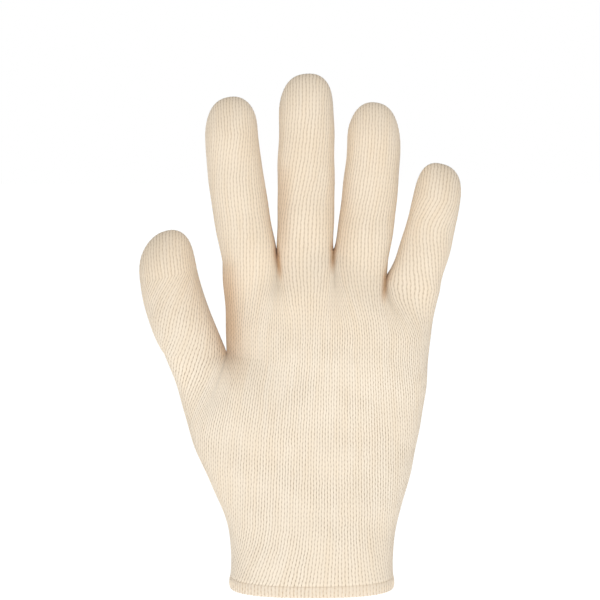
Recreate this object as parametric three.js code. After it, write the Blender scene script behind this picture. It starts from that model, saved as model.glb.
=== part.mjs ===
// A seamless knitted cotton work glove as it sits on a hand: fingers up, the back of the hand facing -Y,
// the palm facing +Y and the thumb at -X. The origin is the centre of the wrist opening, at the hem.
// Millimetres and degrees, +Z up.
import * as THREE from 'three';
import { mergeVertices } from 'three/addons/utils/BufferGeometryUtils.js';

// Cloth, cuff and hem
const FABRIC = 1.2;
const CUFF_WIDTH = 72;
const CUFF_DEPTH = 46;
const HEM_HEIGHT = 4.6;
const HEM_THICKNESS = 1.9;
const HEM_ROUNDING = 0.5;
const SEAM_GAP = 0.3;

// Hand: THUMB_CROTCH_HEIGHT is from the hem, PALM_RISE from there to the highest finger crotch, and the depths
// run from the back of the hand to the palm. The shifts lead from the wrist's centre to the little finger's side.
const THUMB_CROTCH_HEIGHT = 104.3;
const PALM_RISE = 47.1;
const PALM_WIDTH = 89.1;
const PALM_SHIFT = 6.8;
const HEEL_DEPTH = 41;
const KNUCKLE_DEPTH = 31;
const KNUCKLE_SHIFT = 8.5;
const HAND_SQUARENESS = 2.5;

// Fingers: the width and length are the middle finger's, and the web is how far its crotch creases the hand.
const FINGER_WIDTH = 24.6;
const FINGER_LENGTH = 77;
const FINGER_SPREAD = 20;
const FINGER_CURL = 10;
const FINGER_WEB = 19;

// Thumb: it stands forward, over the palm, and its root is measured across the hand.
const THUMB_WIDTH = 27;
const THUMB_ROOT = 27.8;
const THUMB_LENGTH = 55;
const THUMB_LEAN = 14.6;
const THUMB_BOW = 3.4;
const THUMB_FORWARD = 6;
const THUMB_CURL = 9;
const THUMB_WEB = 24;

// Facets: the fine steps are those of one column where an oval's girth is measured.
const DIGIT_COLUMNS = 10;
const SHAFT_ROWS = 6;
const TIP_ROWS = 4;
const KNUCKLE_ROWS = 5;
const PALM_ROWS = 13;
const HEM_COLUMNS = 26;
const FINE_STEPS = 24;
const CORNER_STEP = 0.0005;

// Colours and surface
const KNIT_COLOUR = '#f6e9d0';
const HEM_COLOUR = '#f2e4ca';
const CLOTH_ROUGHNESS = 0.95;

// Root, width and length are shares of the middle finger's, lean is a share of the spread and bow one of the
// finger's own length. Crotch is the height of the root's end on the little finger's side, as a share of the rise.
const FINGERS = [
  { name: 'index', root: 0.967, width: 0.985, length: 0.914, lean: -0.37, bow: -0.02, crotch: 0.953 },
  { name: 'middle', root: 1.012, width: 1, length: 1, lean: 0.03, bow: 0, crotch: 1 },
  { name: 'ring', root: 0.94, width: 0.97, length: 0.904, lean: 0.28, bow: 0.021, crotch: 0.737 },
  { name: 'little', root: 0.963, width: 0.885, length: 0.697, lean: 0.69, bow: 0.03, crotch: 0.605 },
];
const INDEX_SIDE = 0.873;

// Between the knuckles and the thumb's crotch the hand grows by this power, fastest just below the fingers, and the
// columns have settled into even steps at this share of the way down.
const KNUCKLE_FLARE = 1.5;
const COLUMNS_SETTLED = 0.8;

// Where the hand's middle starts to stand forward, and over what width it does so, as shares of the knuckles' width.
const FORWARD_START = 1 / 3;
const FORWARD_WIDTH = 1 / 2;

// The hand's sides between the hem and the thumb's crotch: height is a share of the crotch's, and thumb, edge and
// deep run from 0 at the cuff's size to 1 at the hand's.
const SIDES = [
  { height: 0, thumb: 0.02, edge: 0.03, deep: 0 },
  { height: 0.15, thumb: 0, edge: 0, deep: 0.05 },
  { height: 0.3, thumb: 0.08, edge: 0.14, deep: 0.3 },
  { height: 0.45, thumb: 0.31, edge: 0.43, deep: 0.65 },
  { height: 0.6, thumb: 0.54, edge: 0.66, deep: 0.9 },
  { height: 0.75, thumb: 0.71, edge: 0.82, deep: 1 },
  { height: 0.88, thumb: 0.83, edge: 0.94, deep: 1 },
  { height: 1, thumb: 1, edge: 1, deep: 1 },
];

// Any digit's section along its shaft, as shares of its own width.
const SHAFT = [
  { along: 0, width: 1.02, depth: 0.98 },
  { along: 0.35, width: 1.01, depth: 0.91 },
  { along: 0.7, width: 0.99, depth: 0.86 },
  { along: 1, width: 0.965, depth: 0.82 },
];
const TIP_LENGTH = 0.69;
const TIP_SQUARENESS = 2.35;
const ROOT_BLEND = 0.5;
const CURL_POWER = 1.6;

// The cloth between two digits is this many fabrics deep.
const WEB_FABRICS = 3;

const { lerp, clamp, smoothstep, degToRad } = THREE.MathUtils;
const KNUCKLE_WIDTH = FINGERS.reduce((sum, finger) => sum + finger.root, 0) * FINGER_WIDTH;
const INDEX_EDGE = KNUCKLE_SHIFT - KNUCKLE_WIDTH / 2;
const THUMB_CROTCH = PALM_SHIFT - PALM_WIDTH / 2;
const PALM_EDGE = PALM_SHIFT + PALM_WIDTH / 2;
const THUMB_EDGE = THUMB_CROTCH - THUMB_ROOT;

// Reads a table's columns at any place, with a smooth curve through its rows.
function reader(table, place, names) {
  const places = table.map((row) => row[place]);
  const values = table.flatMap((row) => names.map((name) => row[name]));
  const curve = new THREE.CubicInterpolant(places, values, names.length, new Float64Array(names.length));
  return (at) => {
    const found = curve.evaluate(clamp(at, places[0], places.at(-1)));
    return Object.fromEntries(names.map((name, index) => [name, found[index]]));
  };
}

const sidesAt = reader(SIDES, 'height', ['thumb', 'edge', 'deep']);
const shaftAt = reader(SHAFT, 'along', ['width', 'depth']);

// The middle of the hand's thickness: towards the thumb it stands forward, most of all at the thumb's root.
function middleOf(x, height) {
  const start = INDEX_EDGE + FORWARD_START * KNUCKLE_WIDTH;
  const aside = smoothstep(start - x, 0, FORWARD_WIDTH * KNUCKLE_WIDTH);
  const rising = smoothstep(height, 0, THUMB_CROTCH_HEIGHT);
  const fading = smoothstep(height, THUMB_CROTCH_HEIGHT, THUMB_CROTCH_HEIGHT + PALM_RISE);
  return THUMB_FORWARD * aside * rising * (1 - fading);
}

// Half the depth of an oval at a place across it.
function halfDepthAt({ left, right, halfDepth }, x) {
  const across = clamp((2 * x - left - right) / (right - left), -1, 1);
  return halfDepth * Math.max(0, 1 - Math.abs(across) ** HAND_SQUARENESS) ** (1 / HAND_SQUARENESS);
}

// Places across an oval, in even steps of its half girth from the left edge to the right one.
function evenAcross(oval, columns) {
  const steps = FINE_STEPS * columns;
  const fine = [];
  for (let step = 0; step <= steps; step++) {
    const x = lerp(oval.left, oval.right, (1 - Math.cos((Math.PI * step) / steps)) / 2);
    const half = halfDepthAt(oval, x);
    const last = fine.at(-1);
    fine.push({ x, half, run: last ? last.run + Math.hypot(x - last.x, half - last.half) : 0 });
  }
  const places = [oval.left];
  for (let column = 1; column < columns; column++) {
    const wanted = (fine.at(-1).run * column) / columns;
    const next = fine.findIndex((point) => point.run >= wanted);
    const [from, to] = [fine[next - 1], fine[next]];
    places.push(lerp(from.x, to.x, (wanted - from.run) / (to.run - from.run)));
  }
  places.push(oval.right);
  return places;
}

// The depth below a web: it grows like a quarter circle from nothing at a crotch, and gently where the digit above
// is nearly as deep as the hand.
function filledDepth(above, below, share) {
  const round = 1 - (1 - clamp(share, 0, 1)) ** 2;
  const level = below > 0 ? clamp(above / below, 0, 1) : 1;
  return Math.sqrt(lerp(above ** 2, below ** 2, lerp(round, smoothstep(share, 0, 1), level)));
}

// How much of a root's own outline is left at a distance above it.
function rootFade(above, width) {
  return clamp(1 - above / (ROOT_BLEND * width), 0, 1) ** 2;
}

// Rows of a hand region from its top row down to a height. Its columns start at the digits' roots and settle into
// even steps round the oval, and the creases between the digits fill as they go down.
function regionRows(top, ovalAt, bottom, rowCount, web) {
  const crown = ovalAt(0);
  const rows = [top];
  for (let row = 1; row <= rowCount; row++) {
    const share = 1 - Math.cos((Math.PI / 2) * (row / rowCount));
    const oval = ovalAt(share);
    const even = evenAcross(oval, top.length - 1);
    const settled = smoothstep(share, 0, COLUMNS_SETTLED);
    rows.push(
      top.map((start, column) => {
        const down = (start.z - bottom) * share;
        const across = (start.x - crown.left) / (crown.right - crown.left);
        const x = lerp(lerp(oval.left, oval.right, across), even[column], settled);
        const z = start.z - down;
        const half = filledDepth(start.half, halfDepthAt(oval, x), Math.max(share, down / web));
        return { x, z, half, middle: middleOf(x, z) };
      }),
    );
  }
  return rows.reverse();
}

// Rows of one digit from its root up: the root joins two ends on the hand, the shaft follows the section table and
// the tip is half an ellipsoid whose columns keep straight to its rim.
function digitRows({ from, to, centre, width, length, lean, bow, forward, curl, inset }) {
  const up = new THREE.Vector2(Math.sin(degToRad(lean)), Math.cos(degToRad(lean)));
  const side = new THREE.Vector2(up.y, -up.x);
  const tip = TIP_LENGTH * width;
  const shaft = length - tip;

  const rowAt = (along, tipTurn) => {
    const section = shaftAt(along / shaft);
    const halfWidth = (section.width * width) / 2 - inset;
    const halfDepth = (section.depth * width) / 2 - inset;
    const fade = rootFade(along, width);
    const settled = smoothstep(along, 0, width);
    return Array.from({ length: DIGIT_COLUMNS + 1 }, (_, column) => {
      const across = Math.sin(Math.PI * (column / DIGIT_COLUMNS - 0.5));
      const deep = Math.sqrt(Math.max(0, 1 - across ** 2));
      const rim = Math.max(0, 1 - Math.abs(across) ** TIP_SQUARENESS) ** (1 / TIP_SQUARENESS);
      const rise = along + (tip - inset) * rim * Math.sin(tipTurn);
      const spot = centre.clone().addScaledVector(up, rise).addScaledVector(side, halfWidth * across);
      spot.addScaledVector(side, bow * Math.sin(Math.PI * Math.min(1, rise / length)));
      const root = from.clone().lerp(to, (1 + across) / 2);
      const straight = centre.clone().addScaledVector(side, halfWidth * across);
      spot.addScaledVector(root.clone().sub(straight), fade);
      const own = forward + curl * (rise / length) ** CURL_POWER;
      const middle = lerp(middleOf(root.x, root.y), own, settled);
      return { x: spot.x, z: spot.y, half: halfDepth * deep * Math.cos(tipTurn), middle };
    });
  };

  const rows = [];
  for (let row = 0; row <= SHAFT_ROWS; row++) {
    rows.push(rowAt((shaft * row) / SHAFT_ROWS, 0));
  }
  for (let row = 1; row <= TIP_ROWS; row++) {
    rows.push(rowAt(shaft, (Math.PI / 2) * (row / TIP_ROWS)));
  }
  return rows;
}

// The hand's oval at a height up to the thumb's crotch.
function lowerOval(height, inset) {
  const side = sidesAt(height / THUMB_CROTCH_HEIGHT);
  return {
    left: lerp(-CUFF_WIDTH / 2, THUMB_EDGE, side.thumb) + inset,
    right: lerp(CUFF_WIDTH / 2, PALM_EDGE, side.edge) - inset,
    halfDepth: lerp(CUFF_DEPTH / 2, HEEL_DEPTH / 2, side.deep) - inset,
  };
}

// The hand's oval between the finger roots, at 0, and its foot at the thumb's crotch, at 1.
function upperOval(share, inset, foot) {
  const slope = 1 - (1 - share) ** KNUCKLE_FLARE;
  const above = PALM_RISE * INDEX_SIDE * (1 - share);
  return {
    left: lerp(INDEX_EDGE, foot.left, slope) + inset * (1 - rootFade(above, THUMB_WIDTH)),
    right: lerp(INDEX_EDGE + KNUCKLE_WIDTH - inset, foot.right, slope),
    halfDepth: lerp(KNUCKLE_DEPTH / 2 - inset, foot.halfDepth, slope),
  };
}

// The four fingers, with the roots of the inner surface set down inside the webs.
function fingerRows(inset) {
  const heightOf = (share) => THUMB_CROTCH_HEIGHT + share * PALM_RISE;
  let start = new THREE.Vector2(INDEX_EDGE, heightOf(INDEX_SIDE));
  return FINGERS.map((finger, index) => {
    const end = new THREE.Vector2(start.x + finger.root * FINGER_WIDTH, heightOf(finger.crotch));
    const inner = (point, outside, towards) =>
      new THREE.Vector2(point.x + (outside ? towards * inset : 0), point.y - WEB_FABRICS * inset);
    const rows = digitRows({
      from: inner(start, index === 0, 1),
      to: inner(end, index === FINGERS.length - 1, -1),
      centre: start.clone().lerp(end, 0.5),
      width: finger.width * FINGER_WIDTH,
      length: finger.length * FINGER_LENGTH,
      lean: finger.lean * FINGER_SPREAD,
      bow: finger.bow * finger.length * FINGER_LENGTH,
      forward: 0,
      curl: FINGER_CURL * finger.length,
      inset,
    });
    start = end;
    return rows;
  });
}

// The rows of all regions of the glove's outer surface, or of its inner one where there is an inset.
function gloveRegions(inset) {
  const level = THUMB_CROTCH_HEIGHT - WEB_FABRICS * inset;
  const edge = lowerOval(level, inset);
  const fingers = fingerRows(inset);
  const roots = fingers.flatMap((rows, index) => rows[0].slice(index === 0 ? 0 : 1));
  const foot = { ...edge, left: THUMB_CROTCH };
  const knuckles = regionRows(roots, (share) => upperOval(share, inset, foot), level, KNUCKLE_ROWS, FINGER_WEB);

  const thumb = digitRows({
    from: new THREE.Vector2(edge.left, level),
    to: new THREE.Vector2(THUMB_CROTCH, level),
    centre: new THREE.Vector2(THUMB_CROTCH - THUMB_ROOT / 2, THUMB_CROTCH_HEIGHT),
    width: THUMB_WIDTH,
    length: THUMB_LENGTH,
    lean: -THUMB_LEAN,
    bow: -THUMB_BOW,
    forward: THUMB_FORWARD,
    curl: THUMB_CURL,
    inset,
  });
  const top = [...thumb[0], ...knuckles[0].slice(1)];
  const hem = HEM_HEIGHT + SEAM_GAP;
  const palm = regionRows(top, (share) => lowerOval(lerp(level, hem, share), inset), hem, PALM_ROWS, THUMB_WEB);
  return [palm, knuckles, thumb, ...fingers];
}

// Triangles of a closed sheet: the rows once over the back of the hand and once over the palm. Corners that two
// sheets share are rounded alike, so that they merge.
function addSheets(positions, rows, inside) {
  const rounded = (value) => Math.round(value / CORNER_STEP) * CORNER_STEP;
  for (const face of [-1, 1]) {
    const at = (point) => [point.x, point.middle + face * point.half, point.z].map(rounded);
    const turned = (face > 0) !== inside;
    for (let row = 1; row < rows.length; row++) {
      for (let column = 1; column < rows[row].length; column++) {
        const a = at(rows[row - 1][column - 1]);
        const b = at(rows[row - 1][column]);
        const c = at(rows[row][column]);
        const d = at(rows[row][column - 1]);
        positions.push(...(turned ? [a, c, b, a, d, c] : [a, b, c, a, c, d]));
      }
    }
  }
}

// One closed geometry from loose triangles: shared corners are merged and triangles with no area dropped.
function closedGeometry(positions) {
  const loose = new THREE.BufferGeometry();
  loose.setAttribute('position', new THREE.Float32BufferAttribute(positions.flat(), 3));
  const merged = mergeVertices(loose, CORNER_STEP / 4);
  const corners = Array.from(merged.index.array);
  const kept = [];
  for (let i = 0; i < corners.length; i += 3) {
    const [a, b, c] = corners.slice(i, i + 3);
    if (a !== b && b !== c && c !== a) {
      kept.push(a, b, c);
    }
  }
  merged.setIndex(kept);
  merged.computeVertexNormals();
  return merged;
}

// The knitted shell: an outer and an inner surface, joined by the cut edge above the hem band.
function knitShell() {
  const positions = [];
  const outer = gloveRegions(0);
  const inner = gloveRegions(FABRIC);
  for (const rows of outer) {
    addSheets(positions, rows, false);
  }
  for (const rows of inner) {
    addSheets(positions, rows, true);
  }
  addSheets(positions, [inner[0][0], outer[0][0]], false);
  return closedGeometry(positions);
}

// The hem band: a flat ring of doubled cloth below the shell's edge, a little proud of it on both faces.
function hemBand() {
  const proud = (HEM_THICKNESS - FABRIC) / 2;
  const [outer, inner] = [-proud, FABRIC + proud];
  const profile = [
    [inner - HEM_ROUNDING, 0],
    [outer + HEM_ROUNDING, 0],
    [outer, HEM_ROUNDING],
    [outer, HEM_HEIGHT - HEM_ROUNDING],
    [outer + HEM_ROUNDING, HEM_HEIGHT],
    [inner - HEM_ROUNDING, HEM_HEIGHT],
    [inner, HEM_HEIGHT - HEM_ROUNDING],
    [inner, HEM_ROUNDING],
  ];
  const rows = [...profile, profile[0]].map(([inset, z]) =>
    evenAcross(lowerOval(z, inset), HEM_COLUMNS).map((x) => ({
      x,
      z,
      half: halfDepthAt(lowerOval(z, inset), x),
      middle: middleOf(x, z),
    })),
  );
  const positions = [];
  addSheets(positions, rows, false);
  return closedGeometry(positions);
}

function piece(name, geometry, colour) {
  const material = new THREE.MeshStandardMaterial({ color: colour, roughness: CLOTH_ROUGHNESS, metalness: 0 });
  const mesh = new THREE.Mesh(geometry, material);
  mesh.name = name;
  return mesh;
}

const group = new THREE.Group();
group.add(piece('knit_shell', knitShell(), KNIT_COLOUR));
group.add(piece('hem_band', hemBand(), HEM_COLOUR));

export default group;
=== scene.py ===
"""The look of a seamless cream cotton work glove, knitted in stockinette, in the shape of a hand."""
import math
import bpy
import numpy as np
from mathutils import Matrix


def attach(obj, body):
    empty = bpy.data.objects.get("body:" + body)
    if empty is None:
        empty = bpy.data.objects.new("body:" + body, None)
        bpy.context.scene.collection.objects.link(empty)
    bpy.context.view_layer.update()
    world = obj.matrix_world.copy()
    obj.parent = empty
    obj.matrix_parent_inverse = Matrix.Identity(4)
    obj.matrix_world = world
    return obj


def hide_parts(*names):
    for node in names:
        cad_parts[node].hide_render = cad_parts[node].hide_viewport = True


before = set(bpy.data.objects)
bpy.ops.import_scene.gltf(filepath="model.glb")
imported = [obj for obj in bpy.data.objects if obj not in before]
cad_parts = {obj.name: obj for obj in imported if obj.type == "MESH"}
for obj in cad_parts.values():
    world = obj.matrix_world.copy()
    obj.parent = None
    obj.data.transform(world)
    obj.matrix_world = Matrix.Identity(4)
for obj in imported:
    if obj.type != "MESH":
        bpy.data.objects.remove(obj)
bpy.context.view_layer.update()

# The knitted shell. The real one is one tube of undyed cotton, knitted without a seam from the fingertips
# down: four fingers, then the hand with the thumb beside it, then the cuff. Its face side shows stockinette,
# every wale a column of V-shaped stitches. Sizes are in millimetres, and the back of the hand faces -Y.
MM = 0.001
FABRIC = 1.2
CUFF_WIDTH = 72
CUFF_DEPTH = 46
THUMB_CROTCH_HEIGHT = 104.3
PALM_RISE = 47.1
PALM_WIDTH = 89.1
PALM_SHIFT = 6.8
HEEL_DEPTH = 41
KNUCKLE_DEPTH = 31
KNUCKLE_SHIFT = 8.5
HAND_SQUARENESS = 2.5
HOLLOW_SQUARENESS = 1.8
ROOT_SQUARENESS = 3.2
FINGER_WIDTH = 24.6
FINGER_LENGTH = 77
FINGER_SPREAD = 20
FINGER_CURL = 10
FINGER_WEB = 19
THUMB_WIDTH = 27
THUMB_ROOT = 27.8
THUMB_LENGTH = 55
THUMB_LEAN = 14.6
THUMB_BOW = 3.4
THUMB_FORWARD = 6
THUMB_CURL = 9
THUMB_WEB = 24
TIP_LENGTH = 0.69
TIP_SQUARENESS = 2.35
ROOT_BLEND = 0.5
CURL_POWER = 1.6
KNUCKLE_FLARE = 1.5
COLUMNS_SETTLED = 0.8
INDEX_SIDE = 0.873
WEB_FABRICS = 3
CLEFT_POWER = 4

# Each finger's root, width and length are shares of FINGER_WIDTH and FINGER_LENGTH, its lean of
# FINGER_SPREAD, its bow of its length, and the crotch on its right of PALM_RISE. Wales are counted over one
# face of each finger. The twist is how many of them pass round it by the places in TWIST_PLACES, because
# cloth turns a little as a hand is pushed in.
FINGERS = [
    {"root": 0.967, "width": 0.985, "length": 0.914, "lean": -0.37, "bow": -0.02, "crotch": 0.953},
    {"root": 1.012, "width": 1.0, "length": 1.0, "lean": 0.03, "bow": 0.0, "crotch": 1.0},
    {"root": 0.94, "width": 0.97, "length": 0.904, "lean": 0.28, "bow": 0.021, "crotch": 0.737},
    {"root": 0.963, "width": 0.885, "length": 0.697, "lean": 0.69, "bow": 0.03, "crotch": 0.605},
]
FINGER_WALES = [13.5, 12.5, 13, 10.5]
FINGER_TWISTS = [
    [0, 1.35, 1.95, 3.3],
    [0, 0.3, 1.45, 2.1],
    [0, -0.65, -0.25, 0],
    [0, -1.6, -2.95, -1.9],
]
THUMB_WALES = 13.5
THUMB_TWIST = [0, 2.8, 5.1, 8.5]
TWIST_PLACES = [0, 0.33, 0.67, 1]
FACE_WALES = THUMB_WALES + sum(FINGER_WALES)
SIDE_PLACES = [0, 0.15, 0.3, 0.45, 0.6, 0.75, 0.88, 1]
SIDE_THUMB = [0.02, 0, 0.08, 0.31, 0.54, 0.71, 0.83, 1]
SIDE_EDGE = [0.03, 0, 0.14, 0.43, 0.66, 0.82, 0.94, 1]
SIDE_DEEP = [0, 0.05, 0.3, 0.65, 0.9, 1, 1, 1]
SHAFT_PLACES = [0, 0.35, 0.7, 1]
SHAFT_WIDTH = [1.02, 1.01, 0.99, 0.965]
SHAFT_DEPTH = [0.98, 0.91, 0.86, 0.82]

KNUCKLE_WIDTH = sum(finger["root"] for finger in FINGERS) * FINGER_WIDTH
INDEX_EDGE = KNUCKLE_SHIFT - KNUCKLE_WIDTH / 2
THUMB_CROTCH = PALM_SHIFT - PALM_WIDTH / 2
PALM_EDGE = PALM_SHIFT + PALM_WIDTH / 2
THUMB_EDGE = THUMB_CROTCH - THUMB_ROOT

# The knit: courses are a fixed step up the glove, and one wale on the back of the hand stays upright. The
# pitch of the wales there is read by height. The inner surface has fewer rows, because it is seen only
# through the cuff.
COURSE = 2.05
COLUMNS_PER_WALE = 4
SHELL_FOOT = 4.65
WALE_PITCH_PLACES = [0, 8, 21, 30, 43, 70, 90, 104.3]
WALE_PITCH = [3.4, 3.1, 2.7, 2.55, 2.5, 2.42, 2.27, 2.13]
UPRIGHT_WALE_X = 13
FAR_SIDE_FROM = -0.5
FAR_SIDE_TO = 0.6
ROOT_OFFSET_FADE = 0.45
KNUCKLE_ROW_POWER = 1.4
HAND_ROW_POWER = 1.25
OUTER_ROWS = {"tip_rows": 14, "knuckle_rows": 34, "hand_rows": 62}
INNER_ROWS = {"tip_rows": 7, "knuckle_rows": 20, "hand_rows": 22}
INNER_COURSE = 4.5
GUIDE_FINENESS = 3
GUIDE_COURSE = 8
OVAL_STEPS = 2400
GRID_KEYS = ("x", "z", "half", "middle")


def lerp(a, b, share):
    return a + (b - a) * share


def smooth(value, low, high):
    share = np.clip((value - low) / (high - low), 0, 1)
    return share * share * (3 - 2 * share)


def curve_through(places, values, at):
    """Reads a smooth curve through a row of values at any places."""
    places = np.array(places, dtype=float)
    values = np.array(values, dtype=float)
    at = np.clip(np.asarray(at, dtype=float), places[0], places[-1])
    i = np.clip(np.searchsorted(places, at, side="right"), 1, len(places) - 1)
    before = np.where(i >= 2, i - 2, i)
    after = np.where(i + 1 < len(places), np.minimum(i + 1, len(places) - 1), i - 1)
    run = places[i] - places[i - 1]
    lead = 0.5 * run / (places[i - 1] - places[before])
    follow = 0.5 * run / (places[after] - places[i])
    t = (at - places[i - 1]) / run
    first = -lead * t**3 + 2 * lead * t**2 - lead * t
    second = (1 + lead) * t**3 + (-1.5 - 2 * lead) * t**2 + (-0.5 + lead) * t + 1
    third = (-1 - follow) * t**3 + (1.5 + follow) * t**2 + 0.5 * t
    fourth = follow * t**3 - follow * t**2
    return first * values[before] + second * values[i - 1] + third * values[i] + fourth * values[after]


def middle_of(x, z):
    """The middle of the hand's thickness, which stands forward at the thumb's root."""
    start = INDEX_EDGE + KNUCKLE_WIDTH / 3
    aside = smooth(start - x, 0, KNUCKLE_WIDTH / 2)
    rising = smooth(z, 0, THUMB_CROTCH_HEIGHT)
    fading = smooth(z, THUMB_CROTCH_HEIGHT, THUMB_CROTCH_HEIGHT + PALM_RISE)
    return THUMB_FORWARD * aside * rising * (1 - fading)


def half_depth_at(oval, x):
    """Half an oval's thickness at x. An oval is its two sides, its half depth and how square each side is."""
    left, right, half_depth, left_squareness, right_squareness = oval
    across = np.clip((2 * x - left - right) / (right - left), -1, 1)
    squareness = np.where(across < 0, left_squareness, right_squareness)
    return half_depth * np.maximum(0, 1 - np.abs(across) ** squareness) ** (1 / squareness)


def even_across(oval, shares):
    """Places across an oval at shares of its half girth."""
    x = lerp(oval[0], oval[1], (1 - np.cos(np.pi * np.arange(OVAL_STEPS + 1) / OVAL_STEPS)) / 2)
    half = half_depth_at(oval, x)
    run = np.concatenate([[0], np.cumsum(np.hypot(np.diff(x), np.diff(half)))])
    places = np.interp(shares * run[-1], run, x)
    places[0] = oval[0]
    places[-1] = oval[1]
    return places


def filled_depth(above, below, share):
    """Half depths on the way from a row of digits to the hand's plain oval, with the clefts filled soonest."""
    share = np.clip(share, 0, 1)
    round_fill = 1 - (1 - share) ** CLEFT_POWER
    level = np.clip(above / np.maximum(below, 1e-9), 0, 1)
    level = np.where(below > 1e-9, level, 1)
    return np.sqrt(lerp(above**2, below**2, lerp(round_fill, smooth(share, 0, 1), level)))


def root_fade(above, width):
    """How much a place just above a digit's root still belongs to the hand."""
    return np.clip(1 - above / (ROOT_BLEND * width), 0, 1) ** 2


def lower_oval(height, inset):
    """The oval of the cuff, the heel and the palm with the thumb's root, at a height."""
    place = height / THUMB_CROTCH_HEIGHT
    left = lerp(-CUFF_WIDTH / 2, THUMB_EDGE, float(curve_through(SIDE_PLACES, SIDE_THUMB, place))) + inset
    right = lerp(CUFF_WIDTH / 2, PALM_EDGE, float(curve_through(SIDE_PLACES, SIDE_EDGE, place))) - inset
    deep = lerp(CUFF_DEPTH / 2, HEEL_DEPTH / 2, float(curve_through(SIDE_PLACES, SIDE_DEEP, place))) - inset
    return left, right, deep, HAND_SQUARENESS, HAND_SQUARENESS


def upper_oval(share, inset, foot):
    """The oval between the fingers' roots and the thumb's crotch, at a share of the way down."""
    slope = 1 - (1 - share) ** KNUCKLE_FLARE
    above = PALM_RISE * INDEX_SIDE * (1 - share)
    left = lerp(INDEX_EDGE, foot[0], slope) + inset * (1 - root_fade(above, THUMB_WIDTH))
    right = lerp(INDEX_EDGE + KNUCKLE_WIDTH - inset, foot[1], slope)
    deep = lerp(KNUCKLE_DEPTH / 2 - inset, foot[2], slope)
    return left, right, deep, HOLLOW_SQUARENESS, HAND_SQUARENESS


def region_grid(top, oval_at, bottom, shares, web, evenness):
    """Rows of a hand region from its top row down, as arrays of x, z, half depth and middle."""
    crown = oval_at(0)
    across = (top["x"] - crown[0]) / (crown[1] - crown[0])
    rows = [top]
    for share in shares:
        oval = oval_at(share)
        even = even_across(oval, evenness)
        down = (top["z"] - bottom) * share
        x = lerp(lerp(oval[0], oval[1], across), even, smooth(share, 0, COLUMNS_SETTLED))
        z = top["z"] - down
        half = filled_depth(top["half"], half_depth_at(oval, x), np.maximum(share, down / web))
        rows.append({"x": x, "z": z, "half": half, "middle": middle_of(x, z)})
    return {key: np.array([row[key] for row in reversed(rows)]) for key in GRID_KEYS}


def joined_roots(grids):
    """The lowest rows of neighbouring grids as one row, from left to right."""
    root = {}
    for key in GRID_KEYS:
        rows = [grid[key][0] for grid in grids]
        root[key] = np.concatenate([rows[0], *[row[1:] for row in rows[1:]]])
    return root


def digit_grid(
    start, end, centre, width, length, lean, bow, forward, curl, inset, columns, shaft_rows, tip_rows,
    left_squareness=ROOT_SQUARENESS, right_squareness=ROOT_SQUARENESS,
):
    """Rows of one finger or the thumb from its root up, and how far up the finger each point lies."""
    up = np.array([math.sin(lean), math.cos(lean)])
    side = np.array([up[1], -up[0]])
    tip = TIP_LENGTH * width
    shaft = length - tip
    along = np.concatenate([np.linspace(0, shaft, shaft_rows + 1), np.full(tip_rows, shaft)])[:, None]
    turn = np.concatenate([np.zeros(shaft_rows), np.linspace(0, np.pi / 2, tip_rows + 1)])[:, None]
    left_power = lerp(left_squareness, 2, smooth(along, 0, width))
    right_power = lerp(right_squareness, 2, smooth(along, 0, width))
    shares = np.linspace(0, 1, columns + 1)
    powers = zip(left_power[:, 0], right_power[:, 0])
    across = np.array([even_across((-1, 1, 1, left, right), shares) for left, right in powers])
    squareness = np.where(across < 0, left_power, right_power)
    deep = np.maximum(0, 1 - np.abs(across) ** squareness) ** (1 / squareness)
    rim = np.maximum(0, 1 - np.abs(across) ** TIP_SQUARENESS) ** (1 / TIP_SQUARENESS)
    half_width = curve_through(SHAFT_PLACES, SHAFT_WIDTH, along / shaft) * width / 2 - inset
    half_depth = curve_through(SHAFT_PLACES, SHAFT_DEPTH, along / shaft) * width / 2 - inset
    fade = root_fade(along, width)
    settled = smooth(along, 0, width)
    rise = along + (tip - inset) * rim * np.sin(turn)
    bend = bow * np.sin(np.pi * np.minimum(1, rise / length))
    root_x = lerp(start[0], end[0], (1 + across) / 2)
    root_z = lerp(start[1], end[1], (1 + across) / 2)
    sideways = half_width * across
    x = centre[0] + up[0] * rise + side[0] * (sideways + bend)
    z = centre[1] + up[1] * rise + side[1] * (sideways + bend)
    x = x + (root_x - centre[0] - side[0] * sideways) * fade
    z = z + (root_z - centre[1] - side[1] * sideways) * fade
    middle = lerp(middle_of(root_x, root_z), forward + curl * (rise / length) ** CURL_POWER, settled)
    half = half_depth * deep * np.cos(turn)
    half[:, 0] = 0
    half[:, -1] = 0
    half[-1, :] = 0
    climb = lerp(z, centre[1] + rise, settled)
    grid = {"x": x, "z": z, "half": half, "middle": middle + 0 * x, "climb": climb}
    steps = np.sqrt(sum(np.diff(grid[key], axis=0) ** 2 for key in GRID_KEYS))
    for row in range(shaft_rows + 1, len(x)):
        climb[row] = climb[row - 1] + steps[row - 1]
    return grid


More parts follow.
